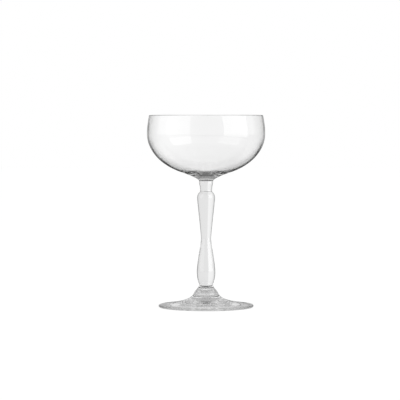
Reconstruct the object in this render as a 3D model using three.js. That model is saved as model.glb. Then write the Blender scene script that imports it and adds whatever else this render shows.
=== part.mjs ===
// A coupe glass for cocktails and sparkling wine, made as such stemware is made, from three
// pieces of soda-lime glass: a blown bowl, a pressed baluster stem and a pressed foot. The
// pieces meet at two flat welds, one under the bowl and one on top of the foot.
// Millimetres, +Z up. The origin is the middle of the ring that the glass stands on.
import * as THREE from "three";

// Bowl, with heights counted up from its weld to the stem
const BOWL_HEIGHT = 53.4; // weld to lip
const BOWL_DIAMETER = 95; // outside, where the bowl is widest
const LIP_DIAMETER = 91.7; // outside, at the lip
const WIDEST_BELOW_LIP = 14.8;
const LIP_LEAN = 11; // degrees that the wall leans inwards at the lip
const LIP_WALL = 1.2;
const SIDE_WALL = 1.5; // where the bowl is widest
const LOWER_WALL = 1.2; // upright through the round side, towards the floor
const FLOOR_THICKNESS = 5.1; // from the round outside's lowest point up to the flat floor inside
const FLOOR_ROUND = 1.5; // how far the rounded corner around that floor reaches
const BUTTON_HEIGHT = 4.4; // the drop of glass under the bowl that the stem is welded to
const BUTTON_STRAIGHT = 0.2; // its upright side, next to the weld
const BUTTON_FLARE = 14.5; // how far out from the button the bowl's underside is drawn down to it

// Stem, with heights counted up from its weld to the foot
const STEM_LENGTH = 82.9; // weld to weld
const BOWL_WELD_DIAMETER = 11.1;
const FOOT_WELD_DIAMETER = 11.1;
const COLLAR_HEIGHT = 1.2; // upright ring at the top of the neck
const NECK_LENGTH = 8.1; // collar included, down to the corner at the shoulder
const NECK_DIAMETER = 9.5; // at that corner
const NECK_HOLD = 5.2; // how far above that corner the neck stays slim
const COLLAR_HOLD = 1.4; // how far below the collar the neck stays as wide as it
const SHOULDER_RADIUS = 6.3;
const UPPER_KNOP_DIAMETER = 14.4;
const WAIST_DIAMETER = 8;
const WAIST_HEIGHT = 37;
const LOWER_KNOP_DIAMETER = 14.8;
const LOWER_KNOP_HEIGHT = 10;
const LOWER_KNOP_HOLD = 7.2; // how far up the stem the lower knop keeps its fullness
const UPPER_KNOP_HOLD = 2; // how far down the stem the upper knop keeps its fullness
const WAIST_HOLD = 4; // how far the waist stays slim, each way

// Foot, with heights counted up from the table
const FOOT_DIAMETER = 76.5;
const FOOT_HEIGHT = 18.3; // table to weld
const FOOT_EDGE = 2; // thickness of its rounded edge
const FOOT_SLOPE = 6.5; // degrees of its upper face, next to the edge
const BOSS_DIAMETER = 19.1; // crisp shoulder below the weld
const BOSS_HEIGHT = 11.9;
const BOSS_SLOPE = 55; // degrees of the face above that shoulder
const BOSS_RISE = 3; // how far that face holds its slope
const BOSS_DRAW = 2.2; // how far the boss stays slim below its weld
const TRUMPET_STEEPNESS = 76; // degrees of the face below that shoulder
const TRUMPET_DROP = 5.3; // how far that face holds its slope
const TRUMPET_REACH = 18; // how far in from the edge the foot keeps its low slope
const RING_WIDTH = 3; // flat ring that the glass stands on
const HOLLOW = 2.4; // rise of the underside inside that ring

// Facets: sides of every round section, and steps along each curve and corner of an outline
const SIDES = 56;
const LONG_CURVE = 13;
const SHORT_CURVE = 6;
const CORNER = 3;

const bowlWeldHeight = FOOT_HEIGHT + STEM_LENGTH;
const bowlWeldRadius = BOWL_WELD_DIAMETER / 2;
const footWeldRadius = FOOT_WELD_DIAMETER / 2;

const at = (radius, height) => new THREE.Vector2(radius, height);
const line = (from, to) => new THREE.LineCurve(from, to);
const curve = (from, leave, arrive, to) => new THREE.CubicBezierCurve(from, leave, arrive, to);

// A point that lies a distance from another, in a direction given in degrees above the horizontal.
function away(from, degrees, distance) {
  const angle = THREE.MathUtils.degToRad(degrees);
  return at(from.x + distance * Math.cos(angle), from.y + distance * Math.sin(angle));
}

// The points of an outline, from its curves and the number of steps along each.
function outline(...stretches) {
  const points = [stretches[0][0].getPoint(0)];
  for (const [stretch, steps] of stretches) points.push(...stretch.getPoints(steps).slice(1));
  return points;
}

// A solid turned from an outline of radii and heights that starts and ends on the axis.
function turned(name, points, material) {
  points[0].x = 0;
  points[points.length - 1].x = 0;
  const geometry = new THREE.LatheGeometry(points, SIDES).rotateX(Math.PI / 2);
  const mesh = new THREE.Mesh(geometry, material);
  mesh.name = name;
  return mesh;
}

// Outside: half an ellipse, drawn down to the button below and closed in a little above. Inside:
// an ellipse next to it, which stops at a flat floor, so that the base is thick and the wall thin.
function bowlOutline() {
  const outside = BOWL_DIAMETER / 2;
  const inside = outside - SIDE_WALL;
  const widest = BOWL_HEIGHT - WIDEST_BELOW_LIP;
  const outsideDepth = widest - BUTTON_HEIGHT;
  const insideDepth = outsideDepth - LOWER_WALL;

  // The button's flare leaves its upright side and meets the outside ellipse on a tangent.
  const flareStart = Math.acos((bowlWeldRadius + BUTTON_FLARE) / outside);
  const body = new THREE.EllipseCurve(0, widest, outside, outsideDepth, -flareStart, 0);
  const flareTop = body.getPoint(0);
  const flareAngle = THREE.MathUtils.radToDeg(body.getTangent(0).angle());
  const flareCorner = away(flareTop, flareAngle, -BUTTON_FLARE / body.getTangent(0).x);
  const sideTop = at(bowlWeldRadius, BUTTON_STRAIGHT);
  const flare = new THREE.QuadraticBezierCurve(sideTop, flareCorner, flareTop);

  // The lip is half a circle, set square to the leaning wall.
  const lipRadius = LIP_WALL / 2;
  const lipCentre = at(LIP_DIAMETER / 2 - lipRadius, BOWL_HEIGHT - lipRadius);
  const lean = THREE.MathUtils.degToRad(LIP_LEAN);
  const lip = new THREE.EllipseCurve(
    lipCentre.x, lipCentre.y, lipRadius, lipRadius, lean, lean + Math.PI,
  );
  const lipOutside = lip.getPoint(0);
  const lipInside = lip.getPoint(1);
  const wallHold = (lipCentre.y - widest) / 3;
  const down = LIP_LEAN - 90;

  // The inside ellipse stops short of the floor, and a rounded corner takes it over.
  const floor = BUTTON_HEIGHT + FLOOR_THICKNESS;
  const cornerAngle = Math.asin((widest - floor) / insideDepth);
  const corner = at(inside * Math.cos(cornerAngle), floor);
  const pace = Math.hypot(inside * Math.sin(cornerAngle), insideDepth * Math.cos(cornerAngle));
  const wall = new THREE.EllipseCurve(
    0, widest, inside, insideDepth, 0, FLOOR_ROUND / pace - cornerAngle, true,
  );
  const floorEdge = at(corner.x - FLOOR_ROUND, floor);

  return outline(
    [line(at(0, 0), at(bowlWeldRadius, 0)), 1],
    [line(at(bowlWeldRadius, 0), sideTop), 1],
    [flare, SHORT_CURVE],
    [body, LONG_CURVE],
    [curve(at(outside, widest), at(outside, widest + wallHold),
      away(lipOutside, down, wallHold), lipOutside), SHORT_CURVE],
    [lip, SHORT_CURVE],
    [curve(lipInside, away(lipInside, down, wallHold),
      at(inside, widest + wallHold), at(inside, widest)), SHORT_CURVE],
    [wall, LONG_CURVE],
    [new THREE.QuadraticBezierCurve(wall.getPoint(1), corner, floorEdge), CORNER],
    [line(floorEdge, at(0, floor)), 1],
  );
}

// A baluster: an egg-shaped lower knop, a waist, an upper knop with a round shoulder, and a neck
// that meets the shoulder in a sharp corner and widens to the collar under the bowl.
function stemOutline() {
  const lowerKnop = LOWER_KNOP_DIAMETER / 2;
  const upperKnop = UPPER_KNOP_DIAMETER / 2;
  const waist = WAIST_DIAMETER / 2;
  const neck = NECK_DIAMETER / 2;

  // The egg's underside is the arc that leaves the knop upright and ends at the weld.
  const swell = lowerKnop - footWeldRadius;
  const eggRadius = (LOWER_KNOP_HEIGHT ** 2 + swell ** 2) / (2 * swell);
  const eggAngle = Math.asin(LOWER_KNOP_HEIGHT / eggRadius);
  const egg = new THREE.EllipseCurve(
    lowerKnop - eggRadius, LOWER_KNOP_HEIGHT, eggRadius, eggRadius, -eggAngle, 0,
  );

  // The shoulder is the arc that leaves the upper knop upright and stops where it meets the neck.
  const shoulderAngle = Math.acos(1 - (upperKnop - neck) / SHOULDER_RADIUS);
  const neckFoot = STEM_LENGTH - NECK_LENGTH;
  const upperKnopHeight = neckFoot - SHOULDER_RADIUS * Math.sin(shoulderAngle);
  const shoulder = new THREE.EllipseCurve(
    upperKnop - SHOULDER_RADIUS, upperKnopHeight, SHOULDER_RADIUS, SHOULDER_RADIUS, 0, shoulderAngle,
  );

  const collarFoot = STEM_LENGTH - COLLAR_HEIGHT;

  return outline(
    [line(at(0, 0), at(footWeldRadius, 0)), 1],
    [egg, SHORT_CURVE],
    [curve(at(lowerKnop, LOWER_KNOP_HEIGHT), at(lowerKnop, LOWER_KNOP_HEIGHT + LOWER_KNOP_HOLD),
      at(waist, WAIST_HEIGHT - WAIST_HOLD), at(waist, WAIST_HEIGHT)), LONG_CURVE],
    [curve(at(waist, WAIST_HEIGHT), at(waist, WAIST_HEIGHT + WAIST_HOLD),
      at(upperKnop, upperKnopHeight - UPPER_KNOP_HOLD), at(upperKnop, upperKnopHeight)), LONG_CURVE],
    [shoulder, SHORT_CURVE],
    [curve(at(neck, neckFoot), at(neck, neckFoot + NECK_HOLD),
      at(bowlWeldRadius, collarFoot - COLLAR_HOLD), at(bowlWeldRadius, collarFoot)), SHORT_CURVE],
    [line(at(bowlWeldRadius, collarFoot), at(bowlWeldRadius, STEM_LENGTH)), 1],
    [line(at(bowlWeldRadius, STEM_LENGTH), at(0, STEM_LENGTH)), 1],
  );
}

// A hollow underside inside a flat ring, a rounded edge, and an upper face that climbs like a
// trumpet to the crisp shoulder of the boss and narrows from there to the weld.
function footOutline() {
  const edgeRadius = FOOT_EDGE / 2;
  const edgeCentre = at(FOOT_DIAMETER / 2 - edgeRadius, edgeRadius);
  const ringInside = edgeCentre.x - RING_WIDTH;
  const hollowRadius = (ringInside ** 2 + HOLLOW ** 2) / (2 * HOLLOW);
  const hollowAngle = Math.asin(ringInside / hollowRadius);
  const hollow = new THREE.EllipseCurve(
    0, HOLLOW - hollowRadius, hollowRadius, hollowRadius, Math.PI / 2, Math.PI / 2 - hollowAngle, true,
  );
  const slope = THREE.MathUtils.degToRad(FOOT_SLOPE);
  const edge = new THREE.EllipseCurve(
    edgeCentre.x, edgeCentre.y, edgeRadius, edgeRadius, -Math.PI / 2, Math.PI / 2 - slope,
  );
  const edgeTop = edge.getPoint(1);
  const boss = at(BOSS_DIAMETER / 2, BOSS_HEIGHT);
  const weld = at(footWeldRadius, FOOT_HEIGHT);

  return outline(
    [hollow, SHORT_CURVE],
    [line(at(ringInside, 0), at(edgeCentre.x, 0)), 1],
    [edge, SHORT_CURVE],
    [curve(edgeTop, away(edgeTop, 180 - FOOT_SLOPE, TRUMPET_REACH),
      away(boss, -TRUMPET_STEEPNESS, TRUMPET_DROP), boss), LONG_CURVE],
    [curve(boss, away(boss, 180 - BOSS_SLOPE, BOSS_RISE),
      at(weld.x, weld.y - BOSS_DRAW), weld), SHORT_CURVE],
    [line(weld, at(0, FOOT_HEIGHT)), 1],
  );
}

const blownGlass = new THREE.MeshStandardMaterial({ color: 0xf2f5f5, roughness: 0.02, metalness: 0 });
const pressedGlass = new THREE.MeshStandardMaterial({ color: 0xeef2f2, roughness: 0.04, metalness: 0 });

const foot = turned("foot", footOutline(), pressedGlass);

const stem = turned("stem", stemOutline(), pressedGlass);
stem.position.z = FOOT_HEIGHT;

const bowl = turned("bowl", bowlOutline(), blownGlass);
bowl.position.z = bowlWeldHeight;

const coupe = new THREE.Group();
coupe.add(foot, stem, bowl);

export default coupe;
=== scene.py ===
import math

import bpy
import numpy as np
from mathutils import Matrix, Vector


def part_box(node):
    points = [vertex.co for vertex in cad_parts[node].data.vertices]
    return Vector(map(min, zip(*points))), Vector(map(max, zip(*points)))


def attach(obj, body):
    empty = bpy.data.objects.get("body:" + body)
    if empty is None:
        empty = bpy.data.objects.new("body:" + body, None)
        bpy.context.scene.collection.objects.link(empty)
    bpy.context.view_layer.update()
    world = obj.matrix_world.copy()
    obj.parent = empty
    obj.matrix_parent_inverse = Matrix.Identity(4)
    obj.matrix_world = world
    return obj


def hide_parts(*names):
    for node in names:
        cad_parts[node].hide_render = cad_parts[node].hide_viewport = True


# The looks of a coupe glass: a blown bowl, a pressed baluster stem and a pressed foot, fused into one
# body of clear soda-lime glass. Metres, +Z up, in the frame of the solids.
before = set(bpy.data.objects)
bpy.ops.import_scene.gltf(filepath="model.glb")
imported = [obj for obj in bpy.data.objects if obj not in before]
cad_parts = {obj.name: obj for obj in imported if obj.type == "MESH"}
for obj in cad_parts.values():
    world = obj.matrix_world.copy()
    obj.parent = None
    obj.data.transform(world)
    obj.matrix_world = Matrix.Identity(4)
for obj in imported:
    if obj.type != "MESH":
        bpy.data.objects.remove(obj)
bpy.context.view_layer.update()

# Sizes taken from the solids
MM = 0.001
foot_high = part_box("foot")[1]
bowl_low, bowl_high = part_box("bowl")
FOOT_RADIUS = foot_high.x
FOOT_WELD = foot_high.z  # height of the weld between foot and stem
BOWL_WELD = bowl_low.z  # height of the weld between stem and bowl
BOWL_RADIUS = bowl_high.x
LIP = bowl_high.z

# Sizes of the bowl
LIP_RADIUS = 45.85 * MM
WIDEST = LIP - 14.8 * MM
LIP_LEAN = math.radians(11)
LIP_WALL = 1.2 * MM
SIDE_WALL = 1.5 * MM
LOWER_WALL = 1.2 * MM
FLOOR_HEIGHT = 5.1 * MM  # flat bottom of the bowl above the lowest point of its round outside
FLOOR_ROUND = 1.5 * MM
BUTTON_HEIGHT = 4.4 * MM
BUTTON_STRAIGHT = 0.2 * MM
BUTTON_FLARE = 14.5 * MM

# Sizes of the stem
WELD_RADIUS = 5.55 * MM  # both welds
COLLAR_FOOT = BOWL_WELD - 1.2 * MM
NECK_FOOT = BOWL_WELD - 8.1 * MM
NECK_RADIUS = 4.75 * MM
NECK_HOLD = 5.2 * MM
COLLAR_HOLD = 1.4 * MM
SHOULDER_RADIUS = 6.3 * MM
SHOULDER_ROUND = 0.4 * MM  # of the corner between shoulder and neck
UPPER_KNOP = 7.2 * MM
UPPER_KNOP_HOLD = 2 * MM
WAIST_RADIUS = 4 * MM
WAIST = FOOT_WELD + 37 * MM
WAIST_HOLD = 4 * MM
LOWER_KNOP = 7.4 * MM
LOWER_KNOP_HEIGHT = 10 * MM
LOWER_KNOP_HOLD = 7.2 * MM

# Sizes of the foot
FOOT_EDGE = 1 * MM  # radius of its rounded edge
FOOT_SLOPE = math.radians(6.5)
BOSS_RADIUS = 9.55 * MM
BOSS_HEIGHT = 11.9 * MM
BOSS_SLOPE = math.radians(55)
BOSS_RISE = 3 * MM
BOSS_DRAW = 2.2 * MM
BOSS_ROUND = 0.6 * MM
TRUMPET_STEEPNESS = math.radians(76)
TRUMPET_DROP = 5.3 * MM
TRUMPET_REACH = 18 * MM
RING_WIDTH = 3 * MM
RING_ROUND = 0.5 * MM
HOLLOW = 2.4 * MM

SPOKES = 192  # sides of every round section
SAME_POINT = 1e-7  # points closer than this are one


# Outlines: arrays of radius and height


def line(start, end, count=12):
    """Even points on the straight line from start to end."""
    share = np.linspace(0, 1, count)[:, None]
    return (1 - share) * np.array(start) + share * np.array(end)


def curve(start, leave, arrive, end, count=60):
    """A cubic curve that leaves start towards the second point and comes to end from the third."""
    t = np.linspace(0, 1, count)[:, None]
    a, b, c, d = (np.array(p) for p in (start, leave, arrive, end))
    return (1 - t) ** 3 * a + 3 * (1 - t) ** 2 * t * b + 3 * (1 - t) * t**2 * c + t**3 * d


def bend(start, corner, end, count=40):
    """A curve from start to end that touches the lines from both of them to the corner."""
    t = np.linspace(0, 1, count)[:, None]
    a, b, c = (np.array(p) for p in (start, corner, end))
    return (1 - t) ** 2 * a + 2 * (1 - t) * t * b + t**2 * c


def arc(radius, height, across, up, first, last, count=60):
    """Part of an ellipse about a centre: centre plus across times cosine and up times sine of the angle."""
    angle = np.linspace(first, last, count)
    return np.c_[radius + across * np.cos(angle), height + up * np.sin(angle)]


def away(point, angle, distance):
    """The point that lies a distance from another, in a direction above the horizontal."""
    return np.array(point) + distance * np.array([math.cos(angle), math.sin(angle)])


def fire_polished(before, after, reach):
    """Joins two stretches that meet in a corner: both are cut back by reach and a bend rounds the corner."""
    kept = before[np.hypot(*(before - before[-1]).T) > reach]
    going = after[np.hypot(*(after - after[0]).T) > reach]
    return np.vstack([kept, bend(kept[-1], before[-1], going[0], 14)[1:-1], going])


def joined(*stretches):
    """One outline from stretches that follow each other, without the doubled points where they meet."""
    points = np.vstack(stretches)
    keep = np.r_[True, np.hypot(*np.diff(points, axis=0).T) > SAME_POINT]
    points = points[keep]
    points[[0, -1], 0] = 0
    return points


def bowl_outline():
    """Weld, button that flares into a quarter of an ellipse outside, the lip's half circle, and inside a
    shallower ellipse that ends on a level floor."""
    inside = BOWL_RADIUS - SIDE_WALL
    outside_depth = WIDEST - BOWL_WELD - BUTTON_HEIGHT
    inside_depth = outside_depth - LOWER_WALL
    start = math.acos((WELD_RADIUS + BUTTON_FLARE) / BOWL_RADIUS)
    body = arc(0, WIDEST, BOWL_RADIUS, outside_depth, -start, 0, 110)
    slope = outside_depth / BOWL_RADIUS / math.tan(start)
    side_top = (WELD_RADIUS, BOWL_WELD + BUTTON_STRAIGHT)
    flare = bend(side_top, (WELD_RADIUS, body[0, 1] - slope * BUTTON_FLARE), body[0])
    lip_radius = LIP_WALL / 2
    lip = arc(LIP_RADIUS - lip_radius, LIP - lip_radius, lip_radius, lip_radius,
              LIP_LEAN, LIP_LEAN + math.pi, 25)
    hold = (LIP - lip_radius - WIDEST) / 3
    down = LIP_LEAN - math.pi / 2
    floor_depth = outside_depth - FLOOR_HEIGHT
    inner_wall = arc(0, WIDEST, inside, inside_depth, 0, -math.asin(floor_depth / inside_depth), 110)
    return joined(
        line((0, BOWL_WELD), (WELD_RADIUS, BOWL_WELD), 2),
        line((WELD_RADIUS, BOWL_WELD), side_top, 4),
        flare,
        body,
        curve((BOWL_RADIUS, WIDEST), (BOWL_RADIUS, WIDEST + hold), away(lip[0], down, hold), lip[0], 40),
        lip,
        curve(lip[-1], away(lip[-1], down, hold), (inside, WIDEST + hold), (inside, WIDEST), 40),
        fire_polished(inner_wall, line(inner_wall[-1], (0, inner_wall[-1, 1]), 20), FLOOR_ROUND),
    )


def stem_outline():
    """Weld, egg-shaped lower knop, waist, upper knop with a round shoulder, neck, collar and weld."""
    swell = LOWER_KNOP - WELD_RADIUS
    egg_radius = (LOWER_KNOP_HEIGHT**2 + swell**2) / (2 * swell)
    knop = FOOT_WELD + LOWER_KNOP_HEIGHT
    turn = math.acos(1 - (UPPER_KNOP - NECK_RADIUS) / SHOULDER_RADIUS)
    upper = NECK_FOOT - SHOULDER_RADIUS * math.sin(turn)
    shoulder = arc(UPPER_KNOP - SHOULDER_RADIUS, upper, SHOULDER_RADIUS, SHOULDER_RADIUS, 0, turn, 40)
    neck = curve(
        (NECK_RADIUS, NECK_FOOT), (NECK_RADIUS, NECK_FOOT + NECK_HOLD),
        (WELD_RADIUS, COLLAR_FOOT - COLLAR_HOLD), (WELD_RADIUS, COLLAR_FOOT), 60,
    )
    return joined(
        line((0, FOOT_WELD), (WELD_RADIUS, FOOT_WELD), 2),
        arc(LOWER_KNOP - egg_radius, knop, egg_radius, egg_radius,
            -math.asin(LOWER_KNOP_HEIGHT / egg_radius), 0, 40),
        curve((LOWER_KNOP, knop), (LOWER_KNOP, knop + LOWER_KNOP_HOLD),
              (WAIST_RADIUS, WAIST - WAIST_HOLD), (WAIST_RADIUS, WAIST), 70),
        curve((WAIST_RADIUS, WAIST), (WAIST_RADIUS, WAIST + WAIST_HOLD),
              (UPPER_KNOP, upper - UPPER_KNOP_HOLD), (UPPER_KNOP, upper), 70),
        fire_polished(shoulder, neck, SHOULDER_ROUND),
        line((WELD_RADIUS, COLLAR_FOOT), (WELD_RADIUS, BOWL_WELD), 10),
        line((WELD_RADIUS, BOWL_WELD), (0, BOWL_WELD), 2),
    )


def foot_outline():
    """Hollow, resting ring, rounded edge, trumpet, boss with a shoulder, and weld."""
    edge_centre = FOOT_RADIUS - FOOT_EDGE
    ring_inside = edge_centre - RING_WIDTH
    hollow_radius = (ring_inside**2 + HOLLOW**2) / (2 * HOLLOW)
    reach = math.asin(ring_inside / hollow_radius)
    hollow = arc(0, HOLLOW - hollow_radius, hollow_radius, hollow_radius,
                 math.pi / 2, math.pi / 2 - reach, 60)
    ring = line((ring_inside, 0), (edge_centre, 0), 12)
    edge = arc(edge_centre, FOOT_EDGE, FOOT_EDGE, FOOT_EDGE, -math.pi / 2, math.pi / 2 - FOOT_SLOPE, 30)
    boss = np.array([BOSS_RADIUS, BOSS_HEIGHT])
    trumpet = curve(
        edge[-1], away(edge[-1], math.pi - FOOT_SLOPE, TRUMPET_REACH),
        away(boss, -TRUMPET_STEEPNESS, TRUMPET_DROP), boss, 110,
    )
    draw = curve(
        boss, away(boss, math.pi - BOSS_SLOPE, BOSS_RISE),
        (WELD_RADIUS, FOOT_WELD - BOSS_DRAW), (WELD_RADIUS, FOOT_WELD), 60,
    )
    return joined(
        fire_polished(hollow, ring, RING_ROUND),
        edge,
        fire_polished(trumpet, draw, BOSS_ROUND),
        line((WELD_RADIUS, FOOT_WELD), (0, FOOT_WELD), 2),
    )


# Solids


def turned(name, outline, finish, starts_with_weld=False, ends_with_weld=False):
    """A piece turned about the Z axis: the point of ring i and spoke j lies at the outline's i-th radius and
    height, at the angle 2 pi j / SPOKES. A fan of triangles closes each end on the axis. A fan that is a weld
    face takes the fused finish and keeps its rim sharp."""
    rings = outline[1:-1]
    angle = np.arange(SPOKES) * 2 * math.pi / SPOKES
    walls = np.stack(
        [rings[:, :1] * np.cos(angle), rings[:, :1] * np.sin(angle), rings[:, 1:] + 0 * angle], axis=-1
    ).reshape(-1, 3)
    first_pole, last_pole = len(walls), len(walls) + 1
    points = np.vstack([walls, [0, 0, outline[0, 1]], [0, 0, outline[-1, 1]]])

    spoke = np.arange(SPOKES)
    onward = (spoke + 1) % SPOKES
    ring = np.arange(len(rings) - 1)[:, None] * SPOKES
    last = (len(rings) - 1) * SPOKES
    quads = np.stack([ring + spoke, ring + onward, ring + SPOKES + onward, ring + SPOKES + spoke], axis=-1)
    first_fan = np.stack([0 * spoke + first_pole, onward, spoke], axis=-1)
    last_fan = np.stack([last + spoke, last + onward, 0 * spoke + last_pole], axis=-1)
    faces = quads.reshape(-1, 4).tolist() + first_fan.tolist() + last_fan.tolist()

    mesh = bpy.data.meshes.new(name)
    mesh.from_pydata(points.tolist(), [], faces)
    mesh.polygons.foreach_set("use_smooth", np.ones(len(faces), bool))
    fused_faces = np.zeros(len(faces), np.int32)
    fused_faces[-2 * SPOKES : -SPOKES] = starts_with_weld
    fused_faces[-SPOKES:] = ends_with_weld
    mesh.polygons.foreach_set("material_index", fused_faces)
    ends = np.zeros(len(mesh.edges) * 2, np.int32)
    mesh.edges.foreach_get("vertices", ends)
    ends = ends.reshape(-1, 2)
    on_first = (ends < SPOKES).all(axis=1) & starts_with_weld
    on_last = ((ends >= last) & (ends < first_pole)).all(axis=1) & ends_with_weld
    mesh.attributes.new("sharp_edge", "BOOLEAN", "EDGE").data.foreach_set("value", on_first | on_last)
    mesh.materials.append(finish)
    mesh.materials.append(fused)
    mesh.update()
    piece = bpy.data.objects.new(name, mesh)
    bpy.context.scene.collection.objects.link(piece)
    return piece


# Finishes

CLEAR = "#FDFDFD"
GLASS_IOR = 1.52
SMOOTHEST = 0.004  # roughness of clean fire-polished glass
BLOOM_LOW = 0.35  # the bloom's noise makes the glass less smooth from here
BLOOM_HIGH = 0.75


def linear(colour):
    """An sRGB hex colour as linear red, green, blue and an alpha of 1."""
    parts = np.array([int(colour[i : i + 2], 16) for i in (1, 3, 5)]) / 255
    parts = np.where(parts <= 0.04045, parts / 12.92, ((parts + 0.055) / 1.055) ** 2.4)
    return (*parts.tolist(), 1.0)


def add(tree, kind, settings=None, sockets=None):
    """Adds one node and gives its outputs. Settings are its properties, and sockets its inputs by name or
    number, each with a value or with the output that feeds it."""
    node = tree.nodes.new(kind)
    for key, value in (settings or {}).items():
        setattr(node, key, value)
    for key, source in (sockets or {}).items():
        if isinstance(source, bpy.types.NodeSocket):
            tree.links.new(source, node.inputs[key])
        else:
            node.inputs[key].default_value = source
    return node.outputs


def new_material(name):
    """A material without nodes, and its node tree."""
    material = bpy.data.materials.new(name)
    material.use_nodes = True
    material.node_tree.nodes.clear()
    return material, material.node_tree


def clear_glass(name, wave_size, wave_depth, wave_stretch, bloom_size, dull):
    """Clear soda-lime glass. Its surface carries faint waves of a given size and depth, stretched along the
    axis, and a bloom of marks that makes it less smooth in patches."""
    material, tree = new_material(name)
    place = add(tree, "ShaderNodeTexCoord")["Object"]
    along = add(tree, "ShaderNodeMapping", None, {
        "Vector": place, "Scale": (1, 1, 1 / wave_stretch),
    })["Vector"]
    waves = add(tree, "ShaderNodeTexNoise", None, {
        "Vector": along, "Scale": 1 / wave_size, "Detail": 1.0, "Roughness": 0.4,
    })["Fac"]
    bump = add(tree, "ShaderNodeBump", None, {
        "Height": waves, "Strength": 1.0, "Distance": wave_depth,
    })["Normal"]
    bloom = add(tree, "ShaderNodeTexNoise", None, {
        "Vector": place, "Scale": 1 / bloom_size, "Detail": 3.0,
    })["Fac"]
    polish = add(tree, "ShaderNodeMapRange", None, {
        "Value": bloom, "From Min": BLOOM_LOW, "From Max": BLOOM_HIGH, "To Min": SMOOTHEST, "To Max": dull,
    })["Result"]
    glass = add(tree, "ShaderNodeBsdfPrincipled", None, {
        "Base Color": linear(CLEAR), "IOR": GLASS_IOR, "Transmission Weight": 1.0,
        "Roughness": polish, "Normal": bump,
    })["BSDF"]
    add(tree, "ShaderNodeOutputMaterial", None, {"Surface": glass})
    return material


# Blown and fire-polished: wide soft waves make reflections swim, and the lip and wall stay bright.
blown = clear_glass(
    "blown fire-polished soda-lime glass",
    wave_size=16 * MM, wave_depth=0.15 * MM, wave_stretch=1, bloom_size=6 * MM, dull=0.012,
)
# Pressed: the cold mould leaves fine upright ripples, which soften what the stem shows.
pressed = clear_glass(
    "pressed soda-lime glass",
    wave_size=3 * MM, wave_depth=0.02 * MM, wave_stretch=12, bloom_size=4 * MM, dull=0.02,
)
# Pressed and spun while soft: level ripples run round the boss and the disc and draw streaks across the foot.
spun = clear_glass(
    "pressed and spun soda-lime glass",
    wave_size=20 * MM, wave_depth=0.2 * MM, wave_stretch=0.12, bloom_size=4 * MM, dull=0.012,
)

# Fused glass: where two pieces were welded hot there is no surface left, so nothing shows.
fused, fused_tree = new_material("hot-fused glass")
nothing = add(fused_tree, "ShaderNodeBsdfTransparent")["BSDF"]
add(fused_tree, "ShaderNodeOutputMaterial", None, {"Surface": nothing})

bowl = turned("blown_bowl", bowl_outline(), blown, starts_with_weld=True)
stem = turned("pressed_stem", stem_outline(), pressed, starts_with_weld=True, ends_with_weld=True)
foot = turned("pressed_foot", foot_outline(), spun, ends_with_weld=True)
for piece, node, slot in (
    (bowl, "bowl", "blown_glass"), (stem, "stem", "pressed_glass"), (foot, "foot", "pressed_glass"),
):
    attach(piece, "root")
    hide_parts(node)

# Studio: a white table before a lit backdrop, dark flags beside the glass, painted shade on the table behind
# it that only the glass shows, a dark ceiling, and a softbox on each side of the camera

WHITE = (1, 1, 1, 1)
TABLE_COLOUR = "#FCFCFC"
TABLE_DROP = 0.1 * MM  # the table lies this far below the resting ring
TABLE_REACH = 4.0
TABLE_WHITE = 1.06
SHADOW = 0.15  # how much of the table's own shading the camera sees
ROOM_LEVEL = 0.7  # light from all round on matt things
KEY_LEVEL = 1.8
KEY_ANGLE = math.radians(60)  # from the camera's side of the glass, to the right of it
FILL_LEVEL = 0.85
FILL_ANGLE = math.radians(-57)
SOFTBOX_SIZE = 1.0
SOFTBOX_DISTANCE = 1.0
NEAR_START = 50 * MM  # the table's levels close to the glass hold up to here
NEAR_END = 95 * MM
DISTANT_START = 0.5  # and its level in the distance begins here
DISTANT_END = 1.5
CEILING_START = math.sin(math.radians(35))
CEILING_END = math.sin(math.radians(55))
LIGHT_BOUNCES = 96
INNER_REFLECTIONS = 24
TURNED_ROUND = 0.5  # more reflections inside than none
ONE_WALL = 2.5  # light that crosses two surfaces goes through one wall

# Levels of the walls and the table by degrees from the middle of the backdrop, positive to the right of it.
# Lists that start at 0 serve both sides. Levels close to the glass are by millimetres from its axis.

# What two walls of glass show: the white studio, a little brighter on the left
CLEAR_LEVELS = ((-180, 1.0), (-6, 1.0), (-3, 1.05), (-1, 1.0), (0, 0.96), (2, 0.96), (6, 1.0), (180, 1.0))
CLEAR_NEAR = 1.0
CLEAR_CEILING = 0.25
# What one wall or the solid stem shows: white on the left, grey on the right, and the flags
SOLID_LEVELS = (
    (-180, 0.8), (-150, 0.83), (-100, 0.85), (-92, 0.35), (-75, 0.35), (-52, 0.75), (-46, 0.85), (-30, 0.92),
    (-12, 0.95), (-8, 0.8), (46, 0.79), (52, 0.7), (75, 0.35), (92, 0.35), (100, 0.9), (180, 0.8),
)
# Close to the glass: painted shade under the foot, and a painted shadow ring along its resting ring
SOLID_NEAR = ((0, 0.9), (24, 0.8), (33, 0.7), (34, 0.5), (36, 0.55), (39, 0.85), (42, 1.0), (95, 0.95))
SOLID_CEILING = 0.2
# What glass shows where it has turned the light round inside: painted shade, as darker walls and a darker
# table behind the glass that stand in for light lost inside it, and on the table under the foot painted rings
# of light and a painted shadow ring under its resting ring
GUIDED_WALLS = ((0, 0.45), (65, 0.45), (75, 0.85), (145, 0.85), (155, 0.55), (180, 0.55))
GUIDED_TABLE = ((0, 0.15), (90, 0.12), (110, 0.42), (180, 0.45))
GUIDED_NEAR = (
    (0, 0.15), (11, 0.2), (13, 1.2), (17, 1.2), (19, 0.1), (25, 0.1), (28, 1.2), (33, 1.0), (34, 0.16),
    (36, 0.3), (38, 0.6), (60, 0.6),
)
GUIDED_DISTANT = 0.35
GUIDED_CEILING = 0.12
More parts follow.
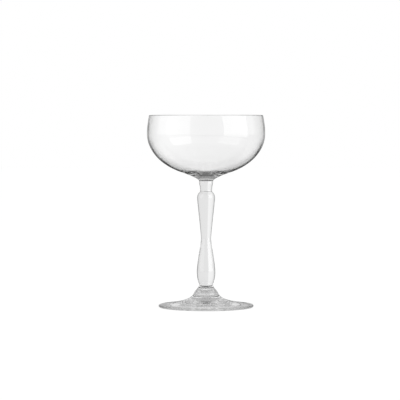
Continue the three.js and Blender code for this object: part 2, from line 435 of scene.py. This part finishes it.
# What its surface mirrors: the flags, and a painted dark patch on the table behind it, which the camera
# doesn't see
MIRROR_WALLS = ((0, 0.5), (12, 0.5), (25, 0.37), (45, 0.12), (65, 0.3), (75, 0.82), (95, 0.82), (180, 0.65))
MIRROR_TABLE = ((0, 0.0), (42, 0.0), (60, 0.55), (100, 0.8), (180, 0.95))
MIRROR_NEAR = 0.6
MIRROR_DISTANT = 0.3
MIRROR_CEILING = 0.8

scene = bpy.context.scene
scene.view_settings.view_transform = "Standard"
scene.cycles.max_bounces = LIGHT_BOUNCES
scene.cycles.transmission_bounces = LIGHT_BOUNCES
scene.cycles.transparent_max_bounces = LIGHT_BOUNCES
scene.cycles.glossy_bounces = INNER_REFLECTIONS

SOFTLY = {"interpolation_type": "SMOOTHSTEP"}


def by_ray(tree, room, mirrored, clear, solid, guided, seen):
    """Picks a shader by what the ray did: struck something matt, was mirrored, went through two walls of
    glass, through one, through one that had turned it round inside, or came straight from the camera."""
    path = add(tree, "ShaderNodeLightPath")
    turned_round = add(tree, "ShaderNodeMath", {"operation": "GREATER_THAN"}, {
        0: path["Glossy Depth"], 1: TURNED_ROUND,
    })["Value"]
    one_wall = add(tree, "ShaderNodeMath", {"operation": "LESS_THAN"}, {
        0: path["Transmission Depth"], 1: ONE_WALL,
    })["Value"]
    through_one = add(tree, "ShaderNodeMixShader", None, {0: turned_round, 1: solid, 2: guided})["Shader"]
    through = add(tree, "ShaderNodeMixShader", None, {0: one_wall, 1: clear, 2: through_one})["Shader"]
    shader = room
    for ray, shown in (
        ("Is Glossy Ray", mirrored), ("Is Transmission Ray", through), ("Is Camera Ray", seen),
    ):
        shader = add(tree, "ShaderNodeMixShader", None, {0: path[ray], 1: shader, 2: shown})["Shader"]
    return shader


def by_stops(tree, value, levels):
    """A level that runs from one stop to the next while a value goes over the stops."""
    low, high = levels[0][0], levels[-1][0]
    share = add(tree, "ShaderNodeMapRange", None, {
        "Value": value, "From Min": low, "From Max": high,
    })["Result"]
    colour = add(tree, "ShaderNodeValToRGB", None, {"Fac": share})["Color"]
    stops = colour.node.color_ramp.elements
    while len(stops) < len(levels):
        stops.new(0.5)
    for stop, (place, level) in zip(stops, levels):
        stop.position = (place - low) / (high - low)
        stop.color = (level, level, level, 1)
    return colour


def around(tree, parts, levels):
    """A level that follows the angle about the glass's axis."""
    if levels[0][0] == 0:
        levels = tuple((-angle, level) for angle, level in levels[:0:-1]) + levels
    turn = add(tree, "ShaderNodeMath", {"operation": "ARCTAN2"}, {0: parts["X"], 1: parts["Y"]})["Value"]
    return by_stops(tree, turn, [(math.radians(angle), level) for angle, level in levels])


table_mesh = bpy.data.meshes.new("table")
table_mesh.from_pydata(
    [(x * TABLE_REACH, y * TABLE_REACH, -TABLE_DROP) for x, y in ((-1, -1), (1, -1), (1, 1), (-1, 1))],
    [], [(0, 1, 2, 3)],
)
table = bpy.data.objects.new("table", table_mesh)
scene.collection.objects.link(table)
table_finish, table_tree = new_material("white table with painted shade and light")
table_mesh.materials.append(table_finish)
place = add(table_tree, "ShaderNodeTexCoord")["Object"]
place_parts = add(table_tree, "ShaderNodeSeparateXYZ", None, {"Vector": place})
reach = add(table_tree, "ShaderNodeVectorMath", {"operation": "LENGTH"}, {0: place})["Value"]


def table_glow(levels, near, distant=None):
    """What the table shows: one level or rings of light close to the glass, farther off a level by the angle
    about it, and one level in the distance."""
    level = around(table_tree, place_parts, levels)
    if distant is not None:
        level = add(table_tree, "ShaderNodeMapRange", SOFTLY, {
            "Value": reach, "From Min": DISTANT_START, "From Max": DISTANT_END,
            "To Min": level, "To Max": distant,
        })["Result"]
    if isinstance(near, tuple):
        near = by_stops(table_tree, reach, [(radius * MM, ring) for radius, ring in near])
    level = add(table_tree, "ShaderNodeMapRange", SOFTLY, {
        "Value": reach, "From Min": NEAR_START, "From Max": NEAR_END, "To Min": near, "To Max": level,
    })["Result"]
    return add(table_tree, "ShaderNodeEmission", None, {"Strength": level})["Emission"]


# Matt laminate: it takes the glass's faint shadow and has no shine of its own.
matt = add(table_tree, "ShaderNodeBsdfDiffuse", None, {"Color": linear(TABLE_COLOUR)})["BSDF"]
white = add(table_tree, "ShaderNodeEmission", None, {"Strength": TABLE_WHITE})["Emission"]
# The table paints the light and shade that glass shows of it: painted shade behind and under the glass, a
# painted shadow ring and painted rings of light under the foot; the camera sees it white with its faint real
# shadow
table_light = by_ray(
    table_tree,
    room=matt,
    mirrored=table_glow(MIRROR_TABLE, MIRROR_NEAR, MIRROR_DISTANT),
    clear=table_glow(CLEAR_LEVELS, CLEAR_NEAR),
    solid=table_glow(SOLID_LEVELS, SOLID_NEAR),
    guided=table_glow(GUIDED_TABLE, GUIDED_NEAR, GUIDED_DISTANT),
    seen=add(table_tree, "ShaderNodeMixShader", None, {0: SHADOW, 1: white, 2: matt})["Shader"],
)
add(table_tree, "ShaderNodeOutputMaterial", None, {"Surface": table_light})

world = bpy.data.worlds.new("studio")
scene.world = world
world.use_nodes = True
sky = world.node_tree
sky.nodes.clear()
direction = add(sky, "ShaderNodeTexCoord")["Generated"]
direction_parts = add(sky, "ShaderNodeSeparateXYZ", None, {"Vector": direction})


def walls(levels, ceiling):
    """What the walls show: a level by the angle about the glass, and one level overhead."""
    level = add(sky, "ShaderNodeMapRange", SOFTLY, {
        "Value": direction_parts["Z"], "From Min": CEILING_START, "From Max": CEILING_END,
        "To Min": around(sky, direction_parts, levels), "To Max": ceiling,
    })["Result"]
    return add(sky, "ShaderNodeBackground", None, {"Color": WHITE, "Strength": level})["Background"]


wall_light = by_ray(
    sky,
    room=add(sky, "ShaderNodeBackground", None, {"Color": WHITE, "Strength": ROOM_LEVEL})["Background"],
    mirrored=walls(MIRROR_WALLS, MIRROR_CEILING),
    clear=walls(CLEAR_LEVELS, CLEAR_CEILING),
    solid=walls(SOLID_LEVELS, SOLID_CEILING),
    guided=walls(GUIDED_WALLS, GUIDED_CEILING),
    seen=add(sky, "ShaderNodeBackground", None, {"Color": WHITE})["Background"],
)
add(sky, "ShaderNodeOutputWorld", None, {"Surface": wall_light})


def softbox(name, angle, level):
    """A soft lamp that stands on the table, turned to the glass. Glass mirrors it; neither the camera nor
    light that comes through glass sees it."""
    lamp_data = bpy.data.lights.new(name, "AREA")
    lamp_data.size = SOFTBOX_SIZE
    lamp_data.energy = level * math.pi * SOFTBOX_SIZE**2
    lamp = bpy.data.objects.new(name, lamp_data)
    lamp.location = (
        SOFTBOX_DISTANCE * math.sin(angle), -SOFTBOX_DISTANCE * math.cos(angle), SOFTBOX_SIZE / 2,
    )
    lamp.rotation_euler = (math.pi / 2, 0, angle)
    lamp.visible_camera = False
    lamp.visible_transmission = False
    scene.collection.objects.link(lamp)


softbox("key_softbox", KEY_ANGLE, KEY_LEVEL)
softbox("fill_softbox", FILL_ANGLE, FILL_LEVEL)

# Camera

VIEW_DISTANCE = 1.75
EYE_HEIGHT = 0.160
VIEW_WIDTH = 0.3219  # how much the picture shows across, at the glass's axis
AIM = np.array([-4.88 * MM, 0.0, 86.3 * MM])  # what is in the middle of the picture
SENSOR = 36  # millimetres across
CLIP_NEAR = 0.05
CLIP_FAR = 50
camera_data = bpy.data.cameras.new("camera")
camera = bpy.data.objects.new("camera", camera_data)
scene.collection.objects.link(camera)
scene.camera = camera
camera.location = (AIM[0], -VIEW_DISTANCE, EYE_HEIGHT)
tilt = math.atan2(EYE_HEIGHT - AIM[2], VIEW_DISTANCE)
camera.rotation_euler = (math.pi / 2 - tilt, 0, 0)
camera_data.sensor_width = SENSOR
camera_data.lens = SENSOR * math.hypot(VIEW_DISTANCE, EYE_HEIGHT - AIM[2]) / VIEW_WIDTH
camera_data.clip_start = CLIP_NEAR
camera_data.clip_end = CLIP_FAR
